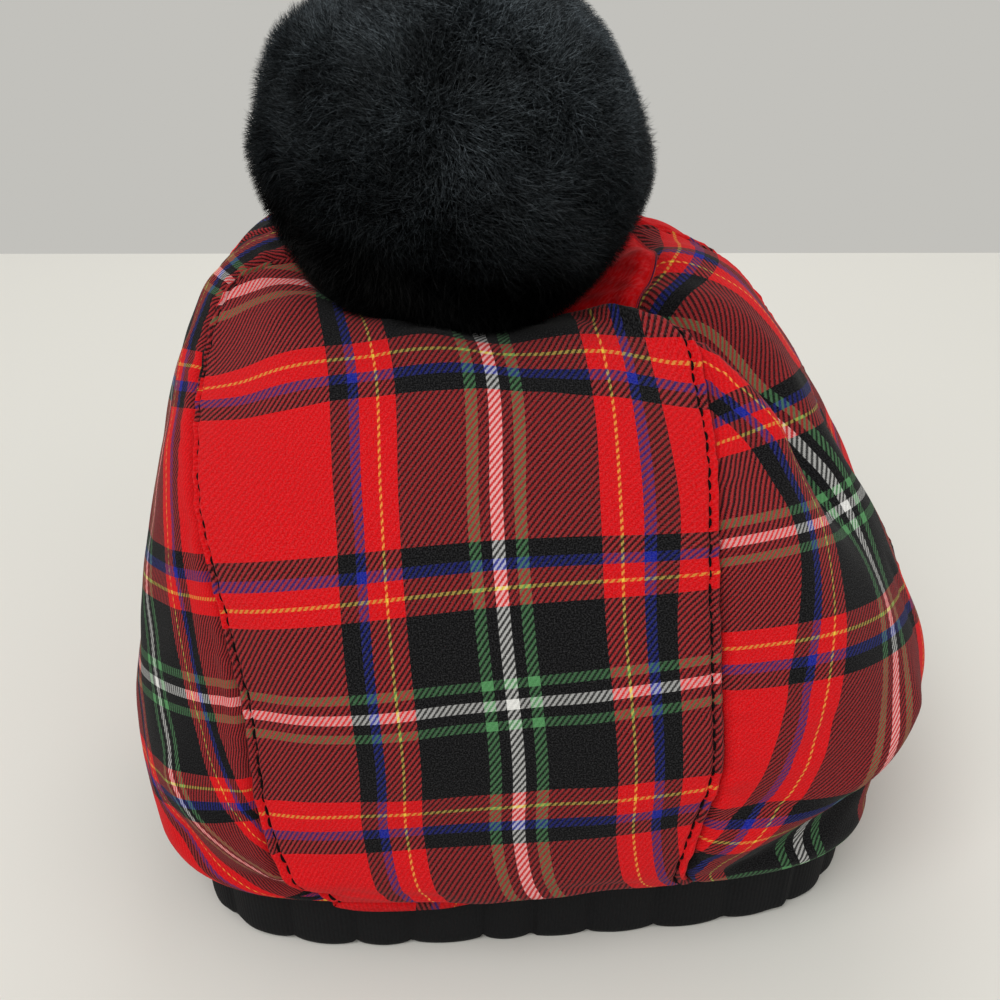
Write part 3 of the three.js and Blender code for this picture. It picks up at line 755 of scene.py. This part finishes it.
def stitch_line(panel, side):
    """The line of stitches beside a gore's left or right seam, and the way out of the cloth there."""
    points, share, width = panel_surface(panel, np.linspace(*STITCH_LEVELS, STITCH_SAMPLES))
    inset = np.minimum(STITCH_INSET / width, STITCH_SHARE)
    place = inset if side == 0 else 1 - inset
    return along_seam(place, share, points), along_seam(place, share, surface_normals(points))


def make_stitches(thread):
    """Black topstitching: one short thread after another in the groove beside each seam."""
    seams = [(panel, side) for panel, name in enumerate(PANELS) for side in (0, 1) if STITCHED[name][side]]
    all_points, all_faces, count = [], [], 0
    for seam in seams:
        line, out = stitch_line(*seam)
        run = np.r_[0, np.cumsum(np.linalg.norm(np.diff(line, axis=0), axis=1))]
        for start in np.arange(STITCH_START, run[-1] - STITCH_LENGTH, STITCH_LENGTH + STITCH_GAP):
            spots = start + np.linspace(0, STITCH_LENGTH, len(STITCH_RISE))
            path = np.stack([np.interp(spots, run, line[:, k]) for k in range(3)], -1)
            away = np.stack([np.interp(spots, run, out[:, k]) for k in range(3)], -1)
            points, faces = tube(path + away * STITCH_RISE[:, None], STITCH_RADIUS * STITCH_TAPER)
            all_points.append(points)
            all_faces.append(faces + count)
            count += len(points)
    piece = make_mesh("topstitching", np.concatenate(all_points), np.concatenate(all_faces), thread)
    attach(piece, "root")


def make_band(elastic):
    """The gathered band: soft ribs round a flat loop, their lower ends scalloped."""
    steps = GATHER_COUNT * RIB_STEPS
    bearing = np.arange(steps) * 2 * np.pi / steps
    phase = np.arange(steps) / RIB_STEPS
    rng = np.random.default_rng(BAND_SEED)
    knots = rng.uniform(-RIB_SHIFT, RIB_SHIFT, GATHER_COUNT)
    size = rng.uniform(*RIB_SIZES, GATHER_COUNT)
    warp = np.interp(phase, np.arange(GATHER_COUNT + 1), np.r_[knots, knots[0]])
    swell = np.interp(phase, np.arange(GATHER_COUNT + 1) + 0.5, np.r_[size, size[0]])
    bulge = np.abs(np.sin(np.pi * (phase + warp * RIB_WARP)))
    scallop = (1 - bulge**0.5) * SCALLOP * swell
    joint = bumps(np.degrees(bearing), [(JOINT_SWELL, JOINT_BEARING, JOINT_WIDTH)])
    heights = np.linspace(0, 1, BAND_ROWS)
    profile = [(1, h) for h in heights] + [(-1, h) for h in heights[::-1]]
    points = []
    for side, h in profile:
        round_off = math.sqrt(max(0.0, 1 - (2 * abs(h - 0.5)) ** 6))
        rib = RIB_DEPTH * (bulge**RIB_ROUND - RIB_MIDDLE) * swell * (1 if side > 0 else RIB_INSIDE)
        thickness = side * BAND_THICKNESS / 2 * (BAND_EDGE + (1 - BAND_EDGE) * round_off)
        grow = thickness + (rib + side * joint) * round_off
        z = scallop * (1 - h) ** 3 + h * (BAND_HEIGHT - BAND_TOP_GAP)
        across, deep = BAND_HALF_WIDTH + grow, BAND_HALF_DEPTH + grow
        x, y = ring_point(
            across - BAND_RIGHT, across + BAND_RIGHT, deep - BAND_BACK, deep + BAND_BACK,
            BAND_SQUARENESS, BAND_TURN, bearing)
        points.append(np.stack([x, y, z + np.zeros_like(x)], -1))
    rows = len(profile)
    last, first = (rows - 1) * steps + np.arange(steps), np.arange(steps)
    close = np.stack([last, np.roll(last, -1), np.roll(first, -1), first], -1)
    faces = np.concatenate([grid_faces(rows, steps, wrap=True), close])
    run, up = phase * BAND_GIRTH / GATHER_COUNT, BAND_HEIGHT * np.array([h for _, h in profile])
    piece = make_mesh("band_elastic", np.stack(points), faces, elastic, np.stack(np.meshgrid(run, up), -1))
    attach(piece, "root")
    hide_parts("band")


# The fur's reach seen from the front: angle from the right, turning up and left, and the share.
FUR_REACH = np.array([
    [-60, 1], [-20, 1.03], [-5, 1.035], [3, 0.99], [15, 0.955], [45, 0.93], [90, 0.96], [135, 0.96],
    [154, 1.05], [170, 1.0], [184, 1.045], [200, 1], [300, 1],
])
# How much further the fur hangs towards the low front, that way's parts to the front and down, and the
# cosines where it sets in and is full. Then the share, seed and waves of its unevenness all round.
FUR_HANG, HANG_FRONT, HANG_DOWN, HANG_SPAN = 0.075, 0.8, 0.6, (0.55, 0.95)
FUR_UNEVEN, UNEVEN_SEED, UNEVEN_WAVES = 0.02, 3, 5.0
FUR_HALF = np.array([POMPOM_WIDTH / 2, POMPOM_WIDTH / 2, POMPOM_HEIGHT / 2])
# Layers of strands: name, seed, depth of the roots, length and width in mm, pull to the nearest tuft,
# and the material's name, painted shade (the deeper the layer lies, the darker) and gloss.
FUR_LAYERS = [
    ("pompom_undercoat", 101, 8.5, 7.0, 0.34, 0.25, "fur_under", 0.8, 0.03),
    ("pompom_coat", 202, 7.7, 7.4, 0.27, 0.35, "fur_coat", 1.2, 0.05),
    ("pompom_guard_hair", 303, 7.0, 8.0, 0.2, 0.22, "fur_guard", 1.8, 0.12),
]
STRANDS = 64000
FUR_SEGMENTS, FUR_TUFTS, SPHERE_SCATTER = 2, 1500, 0.6
# Fields that the strands flow in: seed, waves and strength, and the waves and turn of every field.
FUR_FLOW = [(21, 1.6, 0.35), (8, 4.5, 0.4), (34, 15, 0.35)]
SWIRL_WAVES, SWIRL_TURN = 5, 6.3
# A strand: the flow's part of it, the least and most of its length, the spread of its tip in mm, how far
# it stays in from the form in mm, its bend and how much narrower it gets.
FUR_SWAY, FUR_LENGTHS, FUR_SPREAD = 0.34, (0.65, 1.12), 2.7
FUR_INSIDE, FUR_BEND, FUR_TAPER = 0.6, 0.14, 0.55
# The core under the fur: how deep it lies, in mm, and its steps round and up.
CORE_DEPTH, CORE_TURNS, CORE_RISES = 7.5, 96, 49


def sphere_points(count, rng):
    """Evenly scattered directions."""
    k = np.arange(count) + 0.5
    z = 1 - 2 * k / count
    turn = k * math.pi * (3 - math.sqrt(5))
    flat = np.sqrt(1 - z * z)
    out = np.stack([flat * np.cos(turn), flat * np.sin(turn), z], -1)
    out += rng.normal(0, SPHERE_SCATTER / math.sqrt(count), out.shape)
    return out / np.linalg.norm(out, axis=1, keepdims=True)


def swirl(direction, seed, scale):
    """A smooth field of vectors over the pompom."""
    rng = np.random.default_rng(seed)
    out = np.zeros_like(direction)
    for _ in range(SWIRL_WAVES):
        wave = rng.normal(0, scale, 3)
        push = rng.normal(0, 1, 3)
        out += np.sin(direction @ wave + rng.uniform(0, SWIRL_TURN))[:, None] * push
    return out


def lumps(direction):
    """How far the fur reaches in a direction, as a share of the round form."""
    tilt = math.radians(CAMERA_TILT)
    right, up = direction[:, 0], direction[:, 1] * math.sin(tilt) + direction[:, 2] * math.cos(tilt)
    first = FUR_REACH[0, 0]
    angle = (np.degrees(np.arctan2(up, right)) - first) % 360 + first
    outline = np.interp(angle, *FUR_REACH.T)
    hang = smoothstep(-HANG_FRONT * direction[:, 1] - HANG_DOWN * direction[:, 2], *HANG_SPAN)
    uneven = 1 + FUR_UNEVEN * swirl(direction, UNEVEN_SEED, UNEVEN_WAVES)[:, 0]
    return uneven * (1 + (outline - 1) * (right**2 + up**2)) * (1 + FUR_HANG * hang)


def nearest_tuft(direction, rng):
    """The middle of the tuft that each strand belongs to."""
    centres = sphere_points(FUR_TUFTS, rng)
    tree = KDTree(len(centres))
    for index, centre in enumerate(centres):
        tree.insert(centre, index)
    tree.balance()
    return centres[[tree.find(way)[1] for way in direction]]


def make_fur(name, seed, root, length, width, pull, coat):
    """A layer of flat strands, each bent once, joined in one mesh."""
    rng = np.random.default_rng(seed)
    direction = sphere_points(STRANDS, rng)
    gather = nearest_tuft(direction, rng) - direction
    size = lumps(direction)[:, None]
    start = direction * (FUR_HALF - root) * size
    flow = sum(swirl(direction, field, waves) * strength for field, waves, strength in FUR_FLOW)
    flow -= (flow * direction).sum(1)[:, None] * direction
    reach = length * rng.uniform(*FUR_LENGTHS, STRANDS)[:, None]
    tip = start + reach * direction + reach * FUR_SWAY * flow + gather * pull * FUR_HALF.mean()
    tip += rng.normal(0, FUR_SPREAD, start.shape)
    outside = np.linalg.norm(tip / (FUR_HALF - FUR_INSIDE), axis=1, keepdims=True)
    tip = tip / np.maximum(outside / size, 1)
    bend = start + (tip - start) * 0.5 + direction * reach * FUR_BEND
    side = np.cross(tip - start, rng.normal(0, 1, start.shape))
    side /= np.linalg.norm(side, axis=1, keepdims=True)
    rows = []
    for step in range(FUR_SEGMENTS):
        t = step / FUR_SEGMENTS
        middle = start * (1 - t) ** 2 + bend * 2 * t * (1 - t) + tip * t * t
        half = side * width / 2 * (1 - FUR_TAPER * t)
        rows += [middle - half, middle + half]
    points = np.stack(rows + [tip], 1) + POMPOM
    each = 2 * FUR_SEGMENTS + 1
    tris = []
    for step in range(FUR_SEGMENTS - 1):
        a = 2 * step
        tris += [(a, a + 1, a + 3), (a, a + 3, a + 2)]
    tris.append((each - 3, each - 2, each - 1))
    faces = (np.arange(STRANDS)[:, None, None] * each + np.array(tris)[None]).reshape(-1, 3)
    piece = make_mesh(name, points, faces, coat)
    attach(piece, "root")


def make_core(coat):
    """The dense black body of the pompom under its fur, without its poles."""
    rises = np.linspace(0, np.pi, CORE_RISES + 1)[1:-1]
    turns = np.linspace(0, 2 * np.pi, CORE_TURNS, endpoint=False)
    rise, turn = [way.ravel() for way in np.meshgrid(rises, turns, indexing="ij")]
    direction = np.stack([np.sin(rise) * np.cos(turn), np.sin(rise) * np.sin(turn), np.cos(rise)], -1)
    points = direction * (FUR_HALF - CORE_DEPTH) * lumps(direction)[:, None] + POMPOM
    faces = grid_faces(len(rises), len(turns), flip=True, wrap=True)
    piece = make_mesh("pompom_core", points, faces, coat)
    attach(piece, "root")
    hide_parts("pompom")


tartan = tartan_material("tartan_cloth")
make_band(elastic_material())
for index in range(len(PANELS)):
    make_panel(index, tartan)
make_stitches(thread_material())
# The core under the fur carries the darkest painted shade.
make_core(fur_material("fur_core", 0.5, 0.02))
for name, seed, root, length, width, pull, coat, shade, gloss in FUR_LAYERS:
    make_fur(name, seed, root, length, width, pull, fur_material(coat, shade, gloss))


# The floor's corners, in m, its far edge the foot of the wall, and its colour.
FLOOR = [(-3, -3, 0), (3, -3, 0), (3, 0.52, 0), (-3, 0.5, 0)]
FLOOR_COLOUR = (0.74, 0.73, 0.69, 1)

# Lights: name, place in m, the height in m over the origin that it points at, size in m and power.
LIGHTS = [
    ("key_light", (-0.5, -0.7, 1.3), 0.08, 0.9, 11),
    ("fill_light", (0.9, -0.6, 0.7), 0.08, 1.0, 2.4),
    ("back_light", (0.1, 1.0, 1.0), 0.1, 0.9, 4),
]
SKY_COLOUR, SKY_STRENGTH = (1.0, 0.985, 0.93, 1), 0.54


def make_stage():
    plain, _, shader = material("floor_white", rough=0.9, sheen=0, specular=0.2)
    shader.inputs["Base Color"].default_value = FLOOR_COLOUR
    mesh = bpy.data.meshes.new("floor")
    mesh.from_pydata(FLOOR, [], [(0, 1, 2, 3)])
    mesh.materials.append(plain)
    floor = bpy.data.objects.new("floor", mesh)
    bpy.context.scene.collection.objects.link(floor)


def make_camera():
    tilt = math.radians(CAMERA_TILT)
    back = Vector((0, -math.cos(tilt), math.sin(tilt)))
    data = bpy.data.cameras.new("camera")
    data.lens = CAMERA_LENS
    data.clip_start = 0.01
    camera = bpy.data.objects.new("camera", data)
    camera.location = Vector(SHIFT) + Vector(CAMERA_AIM) + back * CAMERA_DISTANCE
    camera.rotation_euler = (-back).to_track_quat("-Z", "Y").to_euler()
    bpy.context.scene.collection.objects.link(camera)
    bpy.context.scene.camera = camera


def area_light(name, place, aim, size, power):
    data = bpy.data.lights.new(name, "AREA")
    data.size = size
    data.energy = power
    lamp = bpy.data.objects.new(name, data)
    lamp.location = place
    lamp.rotation_euler = (Vector((0, 0, aim)) - Vector(place)).to_track_quat("-Z", "Y").to_euler()
    bpy.context.scene.collection.objects.link(lamp)


def make_lights():
    for light in LIGHTS:
        area_light(*light)
    world = bpy.data.worlds.new("studio")
    world.use_nodes = True
    sky = world.node_tree.nodes["Background"]
    sky.inputs[0].default_value = SKY_COLOUR
    sky.inputs[1].default_value = SKY_STRENGTH
    bpy.context.scene.world = world


make_stage()
make_camera()
make_lights()
bpy.context.scene.view_settings.view_transform = "Standard"
